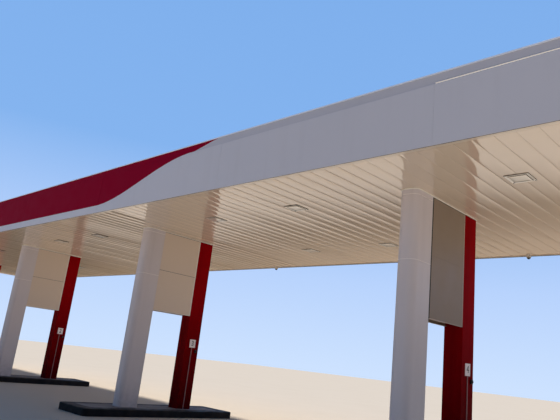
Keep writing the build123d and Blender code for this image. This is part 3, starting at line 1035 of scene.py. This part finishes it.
def number_plates():
    """Plain numbered plate on the right face of each red column, above the duct."""
    for i in range(ISLAND_COUNT):
        face = RED_BOXES[i][1].x
        y0 = RED_BOXES[i][0].y + PLATE_PLACE
        y1 = y0 + PLATE_WIDTH
        z0, z1 = PLATE_HEIGHTS
        built = Builder()
        built.box((face + 0.0002, y0, z0), (face + 0.0035, y1, z1))
        piece = built.piece(f"number_plate_{i + 1}", [PLATE])
        bevelled(piece, 0.001)
        text = bpy.data.curves.new(f"island_number_{i + 1}", "FONT")
        text.body = str(i + 1)
        text.size = NUMBER_SIZE
        text.extrude = 0.0006
        text.align_x = "CENTER"
        text.align_y = "CENTER"
        text.materials.append(BUTTON)
        number = bpy.data.objects.new(f"island_number_{i + 1}", text)
        spot = Matrix.Translation((face + 0.0042, (y0 + y1) / 2, (z0 + z1) / 2))
        number.matrix_world = spot @ Matrix(((0, 0, 1), (1, 0, 0), (0, 1, 0))).to_4x4()
        bpy.context.scene.collection.objects.link(number)
        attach(number, "root")


def deck_screws():
    """Domed screws with washers where the deck's ribs cross the purlins."""
    purlin_low, purlin_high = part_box("purlins")
    deck_low, deck_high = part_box("roof_deck")
    count = int((deck_high.x - deck_low.x) / SCREW_PITCH)
    first, last = purlin_low.y + SCREW_EDGE, purlin_high.y - SCREW_EDGE
    screw = [(0.011, -0.001), (0.011, 0.0015), (0.006, 0.002), (0.0055, 0.006), (0.002, 0.0075)]
    built = Builder()
    for n in range(count):
        x = (n - (count - 1) / 2) * SCREW_PITCH
        for r in range(SCREW_ROWS):
            y = first + (last - first) * r / (SCREW_ROWS - 1)
            z = deck_high.z - (y - deck_low.y) * DECK_FALL
            built.lathe((x, y, z), screw, steps=8)
    piece = built.piece("deck_screws", [ZINC], smooth=False)


# Light, floor and view

def sky():
    """Plain blue sky, paler at the horizon, and dimmer on the side that the camera stands on."""
    world = bpy.data.worlds.new("soft_sky")
    world.use_nodes = True
    nodes, links = world.node_tree.nodes, world.node_tree.links
    background = nodes["Background"]
    background.inputs["Strength"].default_value = SKY_STRENGTH
    place = nodes.new("ShaderNodeTexCoord")
    split = nodes.new("ShaderNodeSeparateXYZ")
    links.new(place.outputs["Generated"], split.inputs["Vector"])
    shade = nodes.new("ShaderNodeValToRGB")
    steps = [
        (0.0, srgb(205, 226, 255)), (0.15, srgb(184, 211, 253)),
        (0.34, srgb(133, 180, 239)), (1.0, srgb(118, 168, 232)),
    ]
    while len(shade.color_ramp.elements) < len(steps):
        shade.color_ramp.elements.new(0.5)
    for element, (position, colour) in zip(shade.color_ramp.elements, steps):
        element.position = position
        element.color = colour
    links.new(split.outputs["Z"], shade.inputs["Fac"])
    towards = nodes.new("ShaderNodeVectorMath")
    towards.operation = "DOT_PRODUCT"
    towards.inputs[1].default_value = SKY_BRIGHT_SIDE
    links.new(place.outputs["Generated"], towards.inputs[0])
    dim = nodes.new("ShaderNodeMapRange")
    dim.interpolation_type = "SMOOTHSTEP"
    for socket, number in zip(("From Min", "From Max", "To Min", "To Max"), (-0.55, 0.6, 0.30, 1.0)):
        dim.inputs[socket].default_value = number
    links.new(towards.outputs["Value"], dim.inputs["Value"])
    scaled = nodes.new("ShaderNodeVectorMath")
    scaled.operation = "SCALE"
    links.new(shade.outputs["Color"], scaled.inputs[0])
    links.new(dim.outputs["Result"], scaled.inputs["Scale"])
    links.new(scaled.outputs["Vector"], background.inputs["Color"])
    bpy.context.scene.world = world


def sun():
    """Large soft sun, high behind the canopy."""
    light = bpy.data.lights.new("soft_sun", "SUN")
    light.energy = SUN_STRENGTH
    light.angle = math.radians(SUN_SPREAD)
    light.color = (1.0, 0.90, 0.77)
    lamp = bpy.data.objects.new("soft_sun", light)
    lamp.rotation_euler = Vector(SUN_TRAVEL).to_track_quat("-Z", "Y").to_euler()
    bpy.context.scene.collection.objects.link(lamp)


def flags():
    """Studio flags, seen only in reflections: painted shadow of the canopy's shade on the floor under it,
    pale near, dark further off, upright ones behind and left.
    """
    run, top, rear = FLAG_RUN, FLAG_HEIGHT, FLAG_REAR
    front, near = FLAG_UNDER_Y
    far_left, left = FLAG_LEFT_X
    places = {
        # Painted shadow of the canopy's shade on the floor.
        "flag_under": ((-HALF_LENGTH, front, 0.0), (HALF_LENGTH, near, 0.0), SHADOW_FLAG),
        "flag_behind": ((-run, near, 0.0), (run, rear, 0.0), GRADED_FLAG),
        "flag_upright": ((-run, rear, 0.0), (run, rear, top), OLIVE_FLAG),
        "flag_left": ((far_left, near, 0.002), (left, rear, 0.002), BLACK_FLAG),
        "flag_left_upright": ((far_left, FLAG_LEFT_FRONT, 0.0), (far_left, rear, top), BLACK_FLAG),
    }
    for name, ((x0, y0, z0), (x1, y1, z1), material) in places.items():
        mesh = bpy.data.meshes.new(name)
        if x0 == x1:
            corners = [(x0, y0, z0), (x0, y1, z0), (x0, y1, z1), (x0, y0, z1)]
        else:
            corners = [(x0, y0, z0), (x1, y0, z0), (x1, y1, z1), (x0, y1, z1)]
        mesh.from_pydata(corners, [], [(0, 1, 2, 3)])
        mesh.materials.append(material)
        flag = bpy.data.objects.new(name, mesh)
        flag.visible_camera = False
        flag.visible_diffuse = False
        flag.visible_shadow = False
        flag.visible_transmission = False
        bpy.context.scene.collection.objects.link(flag)


def floor():
    """Plain pale floor just under the islands."""
    size = FLOOR_REACH
    corners = [(-size, -size, 0), (size, -size, 0), (size, size, 0), (-size, size, 0)]
    mesh = bpy.data.meshes.new("floor")
    mesh.from_pydata(corners, [], [(0, 1, 2, 3)])
    mesh.materials.append(FLOOR)
    stage = bpy.data.objects.new("floor", mesh)
    stage.location = (0, 0, -0.001)
    bpy.context.scene.collection.objects.link(stage)


dress_all()
ceiling_planks()
fascia()
fold_strip()
islands()
column_rings()
trim_shadows()
panel_trims()
ceiling_lights()
dome_camera_pieces()
stop_button_pieces()
number_plates()
deck_screws()
sky()
sun()
flags()
floor()
bpy.context.scene.view_settings.view_transform = "Standard"
add_camera()
